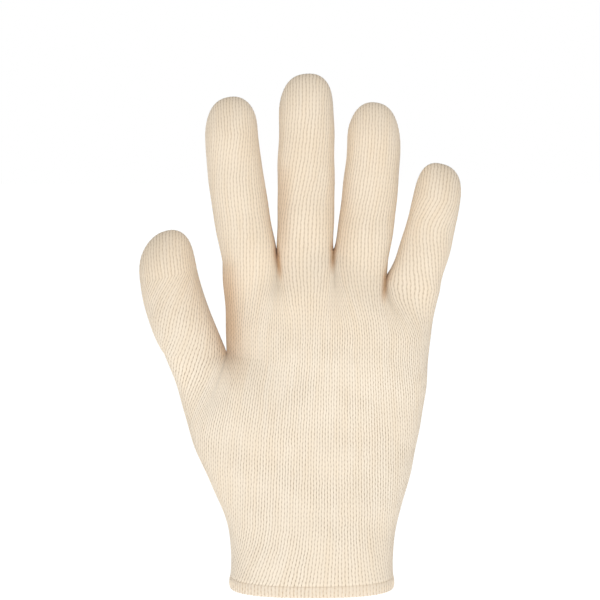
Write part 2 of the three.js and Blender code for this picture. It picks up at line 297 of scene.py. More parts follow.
def finger_grids(inset, columns_per_wale, course, tip_rows):
    """The four fingers' rows, each standing on the line between its two crotches."""
    crotch_height = lambda share: THUMB_CROTCH_HEIGHT + share * PALM_RISE
    start = (INDEX_EDGE, crotch_height(INDEX_SIDE))
    grids = []
    for index, (finger, wales) in enumerate(zip(FINGERS, FINGER_WALES)):
        end = (start[0] + finger["root"] * FINGER_WIDTH, crotch_height(finger["crotch"]))
        first = index == 0
        last = index == len(FINGERS) - 1
        length = finger["length"] * FINGER_LENGTH
        width = finger["width"] * FINGER_WIDTH
        grids.append(digit_grid(
            (start[0] + (inset if first else 0), start[1] - WEB_FABRICS * inset),
            (end[0] - (inset if last else 0), end[1] - WEB_FABRICS * inset),
            ((start[0] + end[0]) / 2, (start[1] + end[1]) / 2),
            width, length, math.radians(finger["lean"] * FINGER_SPREAD), finger["bow"] * length,
            0, FINGER_CURL * finger["length"], inset,
            round(wales * columns_per_wale), round((length - TIP_LENGTH * width) / course), tip_rows,
            left_squareness=HOLLOW_SQUARENESS if first else ROOT_SQUARENESS,
            right_squareness=HAND_SQUARENESS if last else ROOT_SQUARENESS,
        ))
        start = end
    return grids


def thumb_grid(inset, columns_per_wale, course, tip_rows):
    """The thumb's rows, leaning outwards and forward from the side of the hand."""
    level = THUMB_CROTCH_HEIGHT - WEB_FABRICS * inset
    edge = lower_oval(level, inset)
    return digit_grid(
        (edge[0], level), (THUMB_CROTCH, level), (THUMB_CROTCH - THUMB_ROOT / 2, THUMB_CROTCH_HEIGHT),
        THUMB_WIDTH, THUMB_LENGTH, math.radians(-THUMB_LEAN), -THUMB_BOW, THUMB_FORWARD, THUMB_CURL, inset,
        round(THUMB_WALES * columns_per_wale), round((THUMB_LENGTH - TIP_LENGTH * THUMB_WIDTH) / course),
        tip_rows,
        right_squareness=HOLLOW_SQUARENESS,
    )


def knuckle_grid(inset, fingers, rows):
    """Rows of the hand from the fingers' roots down to the thumb's crotch."""
    level = THUMB_CROTCH_HEIGHT - WEB_FABRICS * inset
    edge = lower_oval(level, inset)
    foot = (THUMB_CROTCH, edge[1], edge[2])
    top = joined_roots(fingers)
    shares = (np.arange(1, rows + 1) / rows) ** KNUCKLE_ROW_POWER
    evenness = np.arange(len(top["x"])) / (len(top["x"]) - 1)
    return region_grid(
        top, lambda share: upper_oval(share, inset, foot), level, shares, FINGER_WEB, evenness,
    )


def face_points(grid, face):
    """Points of a grid's near face, at -1, or far face, at 1, in columns that lead rightwards outside."""
    points = np.stack([grid["x"], grid["middle"] + face * grid["half"], grid["z"]], axis=-1)
    return points if face < 0 else points[:, ::-1]


def hand_loops(inset, rows):
    """Closed rows of the hand from the hem up to the thumb's crotch, with columns that follow the wales."""
    level = THUMB_CROTCH_HEIGHT - WEB_FABRICS * inset
    guide_columns = COLUMNS_PER_WALE * GUIDE_FINENESS
    columns = round(FACE_WALES * COLUMNS_PER_WALE)
    thumb = thumb_grid(inset, guide_columns, GUIDE_COURSE, 1)
    knuckles = knuckle_grid(inset, finger_grids(inset, guide_columns, GUIDE_COURSE, 1), 1)
    top = joined_roots([thumb, knuckles])
    shares = (np.arange(1, rows + 1) / rows) ** HAND_ROW_POWER
    evenness = np.arange(len(top["x"])) / (len(top["x"]) - 1)
    oval_at = lambda share: lower_oval(lerp(level, SHELL_FOOT, share), inset)
    grid = region_grid(top, oval_at, SHELL_FOOT, shares, THUMB_WEB, evenness)
    wales = np.arange(2 * columns + 1) / COLUMNS_PER_WALE
    total_wales = 2 * FACE_WALES
    offset = None
    loops = []
    for row in reversed(range(rows + 1)):
        front = np.stack([grid["x"][row], grid["middle"][row] - grid["half"][row]], axis=-1)
        back = np.stack([grid["x"][row], grid["middle"][row] + grid["half"][row]], axis=-1)[::-1]
        loop = np.concatenate([front, back[1:]])
        height = grid["z"][row][0]
        oval = lower_oval(height, inset)
        plain_half = half_depth_at(oval, grid["x"][row])
        steps = np.hypot(np.diff(grid["x"][row]), np.diff(plain_half))
        steps = np.concatenate([steps, steps[::-1]])
        run = np.concatenate([[0], np.cumsum(steps)])
        if not loops:
            upright_wale = np.interp(UPRIGHT_WALE_X, front[::GUIDE_FINENESS, 0], wales[: columns + 1])
        depth = np.concatenate([-plain_half, plain_half[::-1][1:]]) / oval[2]
        behind = smooth((depth[1:] + depth[:-1]) / 2, FAR_SIDE_FROM, FAR_SIDE_TO)
        front_density = 1 / np.interp(height, WALE_PITCH_PLACES, WALE_PITCH)
        rest = total_wales - front_density * np.sum((1 - behind) * steps)
        back_density = rest / np.sum(behind * steps)
        count = np.concatenate([[0], np.cumsum(lerp(front_density, back_density, behind) * steps)])
        upright_run = np.interp(UPRIGHT_WALE_X, front[:, 0], run[: len(front)])
        count = count - np.interp(upright_run, run, count) + upright_wale
        long_count = np.concatenate([count[:-1] - total_wales, count[:-1], count + total_wales])
        long_run = np.concatenate([run[:-1] - run[-1], run[:-1], run + run[-1]])
        wanted = np.interp(wales, long_count, long_run)
        share = 1 - (height - SHELL_FOOT) / (level - SHELL_FOOT)
        if offset is None:
            offset = (run[::GUIDE_FINENESS] - wanted + run[-1] / 2) % run[-1] - run[-1] / 2
        place = (wanted + offset * (1 - smooth(share, 0, ROOT_OFFSET_FADE))) % run[-1]
        x = np.interp(place, run, loop[:, 0])
        y = np.interp(place, run, loop[:, 1])
        points = np.stack([x, y, np.full_like(x, height)], axis=-1)
        points[-1] = points[0]
        loops.append(points)
    return np.array(loops[::-1])


def digit_loops(grid, shaft_rows, twist):
    """Closed rows of a digit whose columns pass round it as they climb, with their heights along it."""
    loops = np.concatenate([face_points(grid, -1), face_points(grid, 1)[:, 1:]], axis=1)
    climbs = np.concatenate([grid["climb"], grid["climb"][:, ::-1][:, 1:]], axis=1)
    columns = loops.shape[1] - 1
    shifts = COLUMNS_PER_WALE * curve_through(TWIST_PLACES, twist, np.arange(len(loops)) / shaft_rows)
    found = np.empty_like(loops)
    heights = np.empty_like(climbs)
    for row, shift in enumerate(shifts):
        place = (np.arange(columns + 1) + shift) % columns
        for axis in range(3):
            found[row, :, axis] = np.interp(place, np.arange(columns + 1), loops[row, :, axis])
        heights[row] = np.interp(place, np.arange(columns + 1), climbs[row])
    found[:, -1] = found[:, 0]
    return found, heights


def shell_sheets(inset, course, tip_rows, knuckle_rows, hand_rows):
    """Every sheet of the glove's outer or inner surface: points, wale numbers and course numbers."""
    fingers = finger_grids(inset, COLUMNS_PER_WALE, course, tip_rows)
    thumb = thumb_grid(inset, COLUMNS_PER_WALE, course, tip_rows)
    knuckles = knuckle_grid(inset, fingers, knuckle_rows)
    hand = hand_loops(inset, hand_rows)
    top = {key: value[None, :] for key, value in joined_roots([thumb, knuckles]).items()}
    hand[-1] = np.concatenate([face_points(top, -1)[0], face_points(top, 1)[0][1:]])
    found = []
    first_wale = 0
    digits = [(thumb, THUMB_WALES, THUMB_TWIST), *zip(fingers, FINGER_WALES, FINGER_TWISTS)]
    for grid, wales, twist in digits:
        points, climb = digit_loops(grid, len(grid["x"]) - 1 - tip_rows, twist)
        wale = first_wale + np.arange(points.shape[1]) / COLUMNS_PER_WALE
        found.append((points, np.broadcast_to(wale, climb.shape), climb / COURSE))
        first_wale += wales
    for face in (-1, 1):
        points = face_points(knuckles, face)
        columns = np.arange(points.shape[1]) / COLUMNS_PER_WALE
        wale = THUMB_WALES + columns if face < 0 else columns - FACE_WALES
        found.append((points, np.broadcast_to(wale, points.shape[:2]), points[:, :, 2] / COURSE))
    columns = np.arange(hand.shape[1]) / COLUMNS_PER_WALE
    found.append((hand, np.broadcast_to(columns, hand.shape[:2]), hand[:, :, 2] / COURSE))
    return found


def chart_of(points):
    """Flat places of a sheet's points, from the mean distances between its rows and columns."""
    across = np.linalg.norm(np.diff(points, axis=1), axis=-1).mean(axis=0)
    up = np.linalg.norm(np.diff(points, axis=0), axis=-1).mean(axis=1)
    flat_x = np.concatenate([[0], np.cumsum(across)])
    flat_y = np.concatenate([[0], np.cumsum(up)])
    return flat_x, flat_y


def pack_charts(charts, gap, sheet_width):
    """Corners of charts that stand side by side on shelves, the tallest first."""
    order = sorted(range(len(charts)), key=lambda index: -charts[index][1][-1])
    corners = [None] * len(charts)
    x = gap
    y = gap
    shelf = 0
    for index in order:
        width = charts[index][0][-1]
        height = charts[index][1][-1]
        if x + width + gap > sheet_width:
            x = gap
            y += shelf + gap
            shelf = 0
        corners[index] = (x, y)
        x += width + gap
        shelf = max(shelf, height)
    return corners, max(sheet_width, y + shelf + gap)


def quads_of(values):
    """The four corners' values of every quad in a grid."""
    return np.stack([values[:-1, :-1], values[:-1, 1:], values[1:, 1:], values[1:, :-1]], axis=2)


# In the second map every sheet has a chart of its own, CHART_GAP apart, and its corners within JOIN_STEP of
# each other are one point of the mesh.
CHART_GAP = 2.5
JOIN_STEP = 0.0005


def sheets_to_mesh(name, groups, sheet_width):
    """One mesh from groups of sheets, each with its material's number and whether it faces inwards."""
    sheets = [(sheet, number, inwards) for group, number, inwards in groups for sheet in group]
    charts = [chart_of(sheet[0]) for sheet, number, inwards in sheets]
    corners, extent = pack_charts(charts, CHART_GAP, sheet_width)
    points = []
    stitches = []
    places = []
    numbers = []
    for (sheet, number, inwards), (flat_x, flat_y), corner in zip(sheets, charts, corners):
        grid_x, grid_y = np.meshgrid(flat_x + corner[0], flat_y + corner[1])
        order = [0, 3, 2, 1] if inwards else [0, 1, 2, 3]
        points.append(quads_of(sheet[0])[:, :, order].reshape(-1, 4, 3))
        stitches.append(quads_of(np.stack([sheet[1], sheet[2]], axis=-1))[:, :, order].reshape(-1, 4, 2))
        places.append(quads_of(np.stack([grid_x, grid_y], axis=-1) / extent)[:, :, order].reshape(-1, 4, 2))
        numbers.append(np.full(len(points[-1]), number))
    points = np.concatenate(points)
    stitches = np.concatenate(stitches)
    places = np.concatenate(places)
    numbers = np.concatenate(numbers)
    keys = np.round(points.reshape(-1, 3) / JOIN_STEP).astype(np.int64)
    _, first, corner_ids = np.unique(keys, axis=0, return_index=True, return_inverse=True)
    corner_ids = corner_ids.reshape(-1, 4)
    vertices = points.reshape(-1, 3)[first] * MM
    faces = []
    stitch_corners = []
    place_corners = []
    face_numbers = []
    for ids, stitch, place, number in zip(corner_ids.tolist(), stitches, places, numbers.tolist()):
        kept = [corner for corner in range(4) if ids[corner] != ids[corner - 1]]
        if len(kept) < 3 or len({ids[corner] for corner in kept}) < len(kept):
            continue
        faces.append([ids[corner] for corner in kept])
        stitch_corners.append(stitch[kept])
        place_corners.append(place[kept])
        face_numbers.append(number)
    mesh = bpy.data.meshes.new(name)
    mesh.from_pydata(vertices.tolist(), [], faces)
    mesh.uv_layers.new(name="Stitches").data.foreach_set("uv", np.concatenate(stitch_corners).ravel())
    mesh.uv_layers.new(name="OFBake").data.foreach_set("uv", np.concatenate(place_corners).ravel())
    mesh.polygons.foreach_set("material_index", face_numbers)
    mesh.polygons.foreach_set("use_smooth", np.ones(len(faces), dtype=bool))
    mesh.update()
    wale_of = np.zeros(len(vertices))
    wale_of[corner_ids.ravel()] = stitches.reshape(-1, 2)[:, 0]
    return mesh, wale_of


# Every wale is a low rib. Long soft waves lie over the hand: wave numbers per millimetre in x, y and z, and
# a phase each. They grow from nothing at the foot to their full height SOFT_WAVE_RISE above it.
RIB_HEIGHT = 0.1
GROOVE_RISE = 0.3
SOFT_WAVES = [
    (0.09, 0.03, 0.31, 0.4),
    (0.23, 0.05, -0.12, 2.1),
    (-0.15, 0.08, 0.21, 4.4),
    (0.31, 0.02, 0.05, 1.2),
]
SOFT_WAVE_HEIGHT = 0.11
SOFT_WAVE_RISE = 25


def raise_ribs(mesh, wale_of):
    """Lifts the two legs of every wale, leaves the grooves between them, and lets the cloth undulate."""
    count = len(mesh.vertices)
    normals = np.empty(count * 3, dtype=np.float32)
    mesh.vertices.foreach_get("normal", normals)
    places = np.empty(count * 3, dtype=np.float32)
    mesh.vertices.foreach_get("co", places)
    from_centre = 2 * np.abs(wale_of % 1 - 0.5)
    lift = RIB_HEIGHT * MM * (np.sin(np.pi * from_centre) - GROOVE_RISE * from_centre)
    places = places.reshape(-1, 3)
    loose = smooth(places[:, 2] / MM, SHELL_FOOT, SHELL_FOOT + SOFT_WAVE_RISE)
    for along_x, along_y, along_z, phase in SOFT_WAVES:
        wave = np.sin(places @ [along_x, along_y, along_z] / MM + phase)
        lift = lift + SOFT_WAVE_HEIGHT * MM * loose * wave
    places = places + normals.reshape(-1, 3) * lift[:, None]
    mesh.vertices.foreach_set("co", places.ravel().astype(np.float32))
    mesh.update()


# Painted shade: where cloth lies against cloth, light comes only through it and is warmer, so the cloth's
# colour is darkened and warmed there: the clefts between the fingers, two fingers' left sides and the
# hollow beside the thumb's root. Each row is a fold's foot and head in x and z, its half width and its
# strength. A fold's painted shade deepens up to FOLD_DEEP of its length and fades between the two places in
# FOLD_FADE.
FOLD_SHADES = [
    {"foot": (-13.2, 136), "head": (-15.6, 152), "half_width": 1.3, "strength": 0.8},
    {"foot": (8.6, 140), "head": (9.5, 154), "half_width": 1.3, "strength": 0.8},
    {"foot": (30.6, 127), "head": (32.4, 142), "half_width": 1.3, "strength": 0.8},
    {"foot": (-33.5, 87), "head": (-38.5, 142), "half_width": 6.0, "strength": 0.56},
    {"foot": (-12.5, 125), "head": (-12.5, 185), "half_width": 3.2, "strength": 0.26},
    {"foot": (12.5, 125), "head": (15.0, 180), "half_width": 3.0, "strength": 0.14},
]
FOLD_DEEP = 0.6
FOLD_FADE = (0.75, 1.4)


def paint_fold_shade(mesh):
    """Stores how deep in a fold's painted shade each point lies, for the material's colour."""
    places = np.empty(len(mesh.vertices) * 3, dtype=np.float32)
    mesh.vertices.foreach_get("co", places)
    places = places.reshape(-1, 3) / MM
    shade = np.zeros(len(places))
    for fold_shade in FOLD_SHADES:
        foot = np.array(fold_shade["foot"])
        run = np.array(fold_shade["head"]) - foot
        share = ((places[:, [0, 2]] - foot) @ run) / (run @ run)
        away = np.linalg.norm(places[:, [0, 2]] - foot - np.clip(share, 0, 1)[:, None] * run, axis=1)
        along = smooth(share, 0, FOLD_DEEP) * (1 - smooth(share, *FOLD_FADE))
        shade = np.maximum(shade, fold_shade["strength"] * along * np.exp(-((away / fold_shade["half_width"]) ** 2)))
    mesh.attributes.new("FoldShade", "FLOAT", "POINT").data.foreach_set("value", shade.astype(np.float32))


SHELL_CHARTS_WIDTH = 395

outer = shell_sheets(0, COURSE, **OUTER_ROWS)
inner = shell_sheets(FABRIC, INNER_COURSE, **INNER_ROWS)
rim = (
    np.stack([inner[-1][0][0], outer[-1][0][0]]),
    np.stack([outer[-1][1][0], outer[-1][1][0]]),
    np.stack([outer[-1][2][0] - 1, outer[-1][2][0]]),
)
shell_groups = [(outer, 0, False), ([rim], 0, False), (inner, 1, True)]
shell_mesh, shell_wales = sheets_to_mesh("knitted_shell", shell_groups, SHELL_CHARTS_WIDTH)
raise_ribs(shell_mesh, shell_wales)
paint_fold_shade(shell_mesh)
shell = bpy.data.objects.new("knitted_shell", shell_mesh)
bpy.context.scene.collection.objects.link(shell)


def add_node(tree, kind, **settings):
    node = tree.nodes.new(kind)
    for name, value in settings.items():
        setattr(node, name, value)
    return node


def feed(tree, node, index, value):
    if isinstance(value, bpy.types.NodeSocket):
        tree.links.new(value, node.inputs[index])
    else:
        node.inputs[index].default_value = value


def calculate(tree, operation, *values):
    node = add_node(tree, "ShaderNodeMath", operation=operation)
    for index, value in enumerate(values):
        feed(tree, node, index, value)
    return node.outputs[0]


def ramp(tree, value, low, high, to_low=0.0, to_high=1.0):
    node = add_node(tree, "ShaderNodeMapRange", interpolation_type="SMOOTHSTEP")
    for index, number in enumerate((value, low, high, to_low, to_high)):
        feed(tree, node, index, number)
    return node.outputs[0]


def blend_colours(tree, share, first, second, mode="MIX"):
    node = add_node(tree, "ShaderNodeMix", data_type="RGBA", blend_type=mode)
    feed(tree, node, 0, share)
    feed(tree, node, 6, first)
    feed(tree, node, 7, second)
    return node.outputs[2]


def noise_at(tree, place, scale, detail=2.0, roughness=0.5):
    node = add_node(tree, "ShaderNodeTexNoise")
    feed(tree, node, "Vector", place)
    node.inputs["Scale"].default_value = scale
    node.inputs["Detail"].default_value = detail
    node.inputs["Roughness"].default_value = roughness
    return node.outputs["Fac"]


# The face of the knit. Each stitch has two slanted legs in a wale, drawn in millimetres. Noise scales are per
# metre, and each pair below is the ramp's end values.
LEG_LEAN = math.radians(10)
LEG_HALF_LENGTH = 2.6
LEG_RADIUS = (0.38, 0.46)
LEG_COVER = 0.85
HALF_WALE = 1.15
WALE_DRIFT = 0.35
WALE_DRIFT_SCALE = 260
COURSE_DRIFT = 0.5
COURSE_DRIFT_SCALE = 420
SLACK_SCALE = 55
PLY_TURNS_ALONG = 15.0
PLY_TURNS_ACROSS = 22.0
PLY_RELIEF = 0.05
FUZZ_SCALE = 2600
FUZZ_RELIEF = 0.35
FUZZ_ROUGHNESS = (0.86, 0.98)
UNEVEN_SCALE = 150
UNEVEN_COVER = 0.45
TIGHT_FROM = 0.1
TIGHT_TO = 0.142
TIGHT_COVER = 0.6
TIGHT_TINT = (0.96, 0.92, 0.87, 1)
STREAKS_PER_WALE = 0.7
STREAKS_PER_COURSE = 0.06
STREAK_STRENGTH = 0.15
STREAK_TINT = (0.87, 0.72, 0.5, 1)
MOTTLE_SCALE = 30
MOTTLE_STRENGTH = 0.25
MOTTLE_TINT = (0.98, 0.93, 0.86, 1)
FOLD_SHADE_TINT = (0.62, 0.40, 0.22, 1)


def leg_height(tree, across, up, radius):
    """How high a stitch's leg stands at a place measured from the leg's middle, as a slanted bead."""
    off = calculate(
        tree, "SUBTRACT",
        calculate(tree, "MULTIPLY", across, math.cos(LEG_LEAN)),
        calculate(tree, "MULTIPLY", up, math.sin(LEG_LEAN)),
    )
    on = calculate(
        tree, "ADD",
        calculate(tree, "MULTIPLY", across, math.sin(LEG_LEAN)),
        calculate(tree, "MULTIPLY", up, math.cos(LEG_LEAN)),
    )
    off_share = calculate(tree, "DIVIDE", off, radius)
    on_share = calculate(tree, "DIVIDE", on, LEG_HALF_LENGTH)
    off_square = calculate(tree, "MULTIPLY", off_share, off_share)
    on_square = calculate(tree, "MULTIPLY", on_share, on_share)
    left = calculate(tree, "SUBTRACT", 1.0, calculate(tree, "ADD", off_square, on_square))
    return calculate(tree, "SQRT", calculate(tree, "MAXIMUM", left, 0.0)), off, on


def knit_material(name, lit, gap, loft):
    """Stockinette in two colours, the yarn's and a darker painted shade in the holes between the legs, with
    its relief in millimetres.
    """
    material = bpy.data.materials.new(name)
    material.use_nodes = True
    tree = material.node_tree
    tree.nodes.clear()
    output = add_node(tree, "ShaderNodeOutputMaterial")
    cloth = add_node(tree, "ShaderNodeBsdfPrincipled")
    tree.links.new(cloth.outputs[0], output.inputs[0])
    place = add_node(tree, "ShaderNodeTexCoord").outputs["Object"]
    stitches = add_node(tree, "ShaderNodeUVMap", uv_map="Stitches").outputs[0]
    split = add_node(tree, "ShaderNodeSeparateXYZ")
    tree.links.new(stitches, split.inputs[0])
    drift = calculate(tree, "SUBTRACT", noise_at(tree, place, WALE_DRIFT_SCALE), 0.5)
    shift = calculate(tree, "SUBTRACT", noise_at(tree, place, COURSE_DRIFT_SCALE), 0.5)
    wale = calculate(tree, "MULTIPLY_ADD", drift, WALE_DRIFT, split.outputs[0])
    course = calculate(tree, "MULTIPLY_ADD", shift, COURSE_DRIFT, split.outputs[1])
    from_centre = calculate(tree, "SUBTRACT", calculate(tree, "FRACT", wale), 0.5)
    from_centre = calculate(tree, "ABSOLUTE", from_centre)
    across = calculate(tree, "MULTIPLY_ADD", from_centre, 2 * HALF_WALE, -0.5 * HALF_WALE)
    up = calculate(tree, "MULTIPLY_ADD", calculate(tree, "FRACT", course), COURSE, -0.5 * COURSE)
    slack = noise_at(tree, place, SLACK_SCALE, 3.0, 0.6)
    radius = ramp(tree, slack, 0.3, 0.7, *LEG_RADIUS)
    height = None
    for neighbour in (-1, 0, 1):
        leg, off, on = leg_height(tree, across, calculate(tree, "ADD", up, neighbour * COURSE), radius)
        height = leg if height is None else calculate(tree, "MAXIMUM", height, leg)
        if neighbour == 0:
            ply = calculate(tree, "MULTIPLY", off, PLY_TURNS_ACROSS)
            ply = calculate(tree, "SINE", calculate(tree, "MULTIPLY_ADD", on, PLY_TURNS_ALONG, ply))
    fuzz = noise_at(tree, place, FUZZ_SCALE, 3.0, 0.65)
    relief = calculate(tree, "MULTIPLY_ADD", ply, PLY_RELIEF, height)
    relief = calculate(tree, "MULTIPLY_ADD", fuzz, FUZZ_RELIEF, relief)
    bump = add_node(tree, "ShaderNodeBump")
    bump.inputs["Strength"].default_value = 1.0
    bump.inputs["Distance"].default_value = loft * MM
    tree.links.new(relief, bump.inputs["Height"])
    tree.links.new(bump.outputs[0], cloth.inputs["Normal"])
    split_place = add_node(tree, "ShaderNodeSeparateXYZ")
    tree.links.new(place, split_place.inputs[0])
    covered = ramp(tree, height, 0.0, LEG_COVER)
    uneven = ramp(tree, noise_at(tree, place, UNEVEN_SCALE, 3.0, 0.7), 0.35, 0.65, 0.0, UNEVEN_COVER)
    tight = ramp(tree, split_place.outputs[2], TIGHT_FROM, TIGHT_TO, 0.0, TIGHT_COVER)
    covered = calculate(tree, "MAXIMUM", covered, calculate(tree, "MAXIMUM", uneven, tight))
    # Painted shade: where the legs don't cover, the colour falls to the darker shade of the holes.
    colour = blend_colours(tree, covered, gap, lit)
    colour = blend_colours(tree, tight, colour, TIGHT_TINT, "MULTIPLY")
    stripes = add_node(tree, "ShaderNodeCombineXYZ")
    tree.links.new(calculate(tree, "MULTIPLY", split.outputs[0], STREAKS_PER_WALE), stripes.inputs[0])
    tree.links.new(calculate(tree, "MULTIPLY", split.outputs[1], STREAKS_PER_COURSE), stripes.inputs[1])
    streak = ramp(tree, noise_at(tree, stripes.outputs[0], 1.0, 2.0, 0.6), 0.3, 0.75, 0.0, STREAK_STRENGTH)
    colour = blend_colours(tree, streak, colour, STREAK_TINT, "MULTIPLY")
    mottle = ramp(tree, noise_at(tree, place, MOTTLE_SCALE, 3.0, 0.55), 0.35, 0.75, 0.0, MOTTLE_STRENGTH)
    colour = blend_colours(tree, mottle, colour, MOTTLE_TINT, "MULTIPLY")
    # Painted shade: the colour is multiplied towards a warm brown where the folds' shade falls.
    fold_shade = add_node(tree, "ShaderNodeAttribute", attribute_name="FoldShade").outputs["Fac"]
    colour = blend_colours(tree, fold_shade, colour, FOLD_SHADE_TINT, "MULTIPLY")
    tree.links.new(colour, cloth.inputs["Base Color"])
    rough = ramp(tree, fuzz, 0.2, 0.8, *FUZZ_ROUGHNESS)
    tree.links.new(rough, cloth.inputs["Roughness"])
    cloth.inputs["Sheen Weight"].default_value = 0.12
    cloth.inputs["Sheen Roughness"].default_value = 0.5
    cloth.inputs["Specular IOR Level"].default_value = 0.2
    return material


# The second colour of each knit is painted shade in the holes between the legs.
stockinette = knit_material("cream_stockinette", (0.95, 0.842, 0.695, 1), (0.43, 0.325, 0.215, 1), 0.16)
wrong_side = knit_material("cream_wrong_side", (0.9, 0.79, 0.61, 1), (0.55, 0.4, 0.25, 1), 0.4)
shell_mesh.materials.append(stockinette)
shell_mesh.materials.append(wrong_side)
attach(shell, "root")
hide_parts("knit_shell")

# The hem band. The real one is the cut edge of the cuff, folded and overlocked all round with a cotton
# thread, so it is a narrow ridge round the last course of the knit, which it grips from both sides.
HEM_HEIGHT = 4.86
HEM_PROUD = 0.12
HEM_ROUNDING = 0.5
HEM_TOP_ROUNDING = 0.06
HEM_ROUND_STEPS = 3
HEM_CHARTS_WIDTH = 210
CUFF_STEPS = 720


def hem_profile():
    """Insets and heights round the band's section, once round from the lower edge up the outer face."""
    outer_face = -HEM_PROUD
    inner_face = FABRIC + HEM_PROUD
    corners = [
        (outer_face, HEM_ROUNDING, HEM_ROUNDING, 270, 180),
        (outer_face, HEM_HEIGHT - HEM_TOP_ROUNDING, HEM_TOP_ROUNDING, 180, 90),
        (inner_face, HEM_HEIGHT - HEM_TOP_ROUNDING, -HEM_TOP_ROUNDING, 90, 180),
        (inner_face, HEM_ROUNDING, -HEM_ROUNDING, 180, 270),
    ]
    profile = []
    for face, height, rounding, start, end in corners:
        for step in range(HEM_ROUND_STEPS + 1):
            turn = math.radians(lerp(start, end, step / HEM_ROUND_STEPS))
            profile.append((
                face + rounding * (1 + math.cos(turn)),
                height + abs(rounding) * math.sin(turn),
            ))
    return profile + [profile[0]]


def cuff_loop(inset, height):
    """A fine closed loop round the cuff, and the shares of its girth up to each point."""
    oval = lower_oval(max(height, 0), inset)
    x = even_across(oval, np.linspace(0, 1, CUFF_STEPS + 1))
    half = half_depth_at(oval, x)
    half[0] = 0
    half[-1] = 0
    middle = middle_of(x, height)
    front = np.stack([x, middle - half], axis=-1)
    back = np.stack([x, middle + half], axis=-1)[::-1]
    loop = np.concatenate([front, back[1:]])
    run = np.concatenate([[0], np.cumsum(np.hypot(*np.diff(loop, axis=0).T))])
    return loop, run / run[-1]


def hem_ring(inset, height, shares):
    """Points round the cuff at shares of its girth."""
    loop, run = cuff_loop(inset, height)
    x = np.interp(shares, run, loop[:, 0])
    y = np.interp(shares, run, loop[:, 1])
    return np.stack([x, y, np.full_like(x, height)], axis=-1)


def foot_shares():
    """Where the shell's wales come down, as shares of the cuff's girth."""
    foot = outer[-1][0][0]
    loop, run = cuff_loop(0, SHELL_FOOT)
    found = []
    for x, y, z in foot:
        nearest = np.argmin(np.hypot(loop[:, 0] - x, loop[:, 1] - y))
        found.append(run[nearest])
    found = np.unwrap(2 * np.pi * np.array(found)) / (2 * np.pi)
    found[-1] = found[0] + 1
    return np.maximum.accumulate(found) % 1


hem_shares = foot_shares()
hem_rings = np.array([hem_ring(inset, height, hem_shares) for inset, height in hem_profile()])
hem_steps = np.linalg.norm(np.diff(hem_rings, axis=0), axis=-1).mean(axis=1)
hem_run = np.concatenate([[0], np.cumsum(hem_steps)])
hem_wales = np.broadcast_to(outer[-1][1][0], hem_rings.shape[:2])
hem_courses = np.broadcast_to(hem_run[:, None] / COURSE, hem_rings.shape[:2])
hem_groups = [([(hem_rings, hem_wales, hem_courses)], 0, False)]
hem_mesh, hem_wale_of = sheets_to_mesh("hem_edge", hem_groups, HEM_CHARTS_WIDTH)
raise_ribs(hem_mesh, hem_wale_of)
hem = bpy.data.objects.new("hem_edge", hem_mesh)
bpy.context.scene.collection.objects.link(hem)
# The hem's second colour is painted shade in the holes between the legs.
hem_mesh.materials.append(knit_material("cream_hem", (0.915, 0.8, 0.655, 1), (0.6, 0.46, 0.32, 1), 0.15))
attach(hem, "root")
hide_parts("hem_band")

# The hem's thread. The real one is a cotton overlock thread that runs round the band's edge in close loops,
# two to a wale, and draws the edge into small scallops. Each loop goes into the cloth on both sides of it.
LOOPS_PER_WALE = 2
LOOP_HEIGHT = 3.7
LOOP_HALF_WIDTH = 0.6
LOOP_BULGE = 1.62
LOOP_LOW = -0.14
THREAD_RADIUS = 0.2
LOOP_STEPS = 10
THREAD_SIDES = 6
LOOP_SIZES = (0.94, 1.05)
LOOP_SEED = 7


def loop_places():
    """Points under the band's middle, two to a wale, and the direction outwards at each."""
    wales = outer[-1][1][0]
    wanted = (np.arange(round(2 * FACE_WALES * LOOPS_PER_WALE)) + 0.5) / LOOPS_PER_WALE
    middle = hem_ring(FABRIC / 2, 0, hem_shares)
    ahead = np.roll(middle[:-1], -1, axis=0) - np.roll(middle[:-1], 1, axis=0)
    turns = np.unwrap(np.arctan2(-ahead[:, 0], ahead[:, 1]))
    turns = np.append(turns, turns[0] + 2 * np.pi)
    x = np.interp(wanted, wales, middle[:, 0])
    y = np.interp(wanted, wales, middle[:, 1])
    return np.stack([x, y, np.zeros_like(x)], axis=-1) * MM, np.interp(wanted, wales, turns)


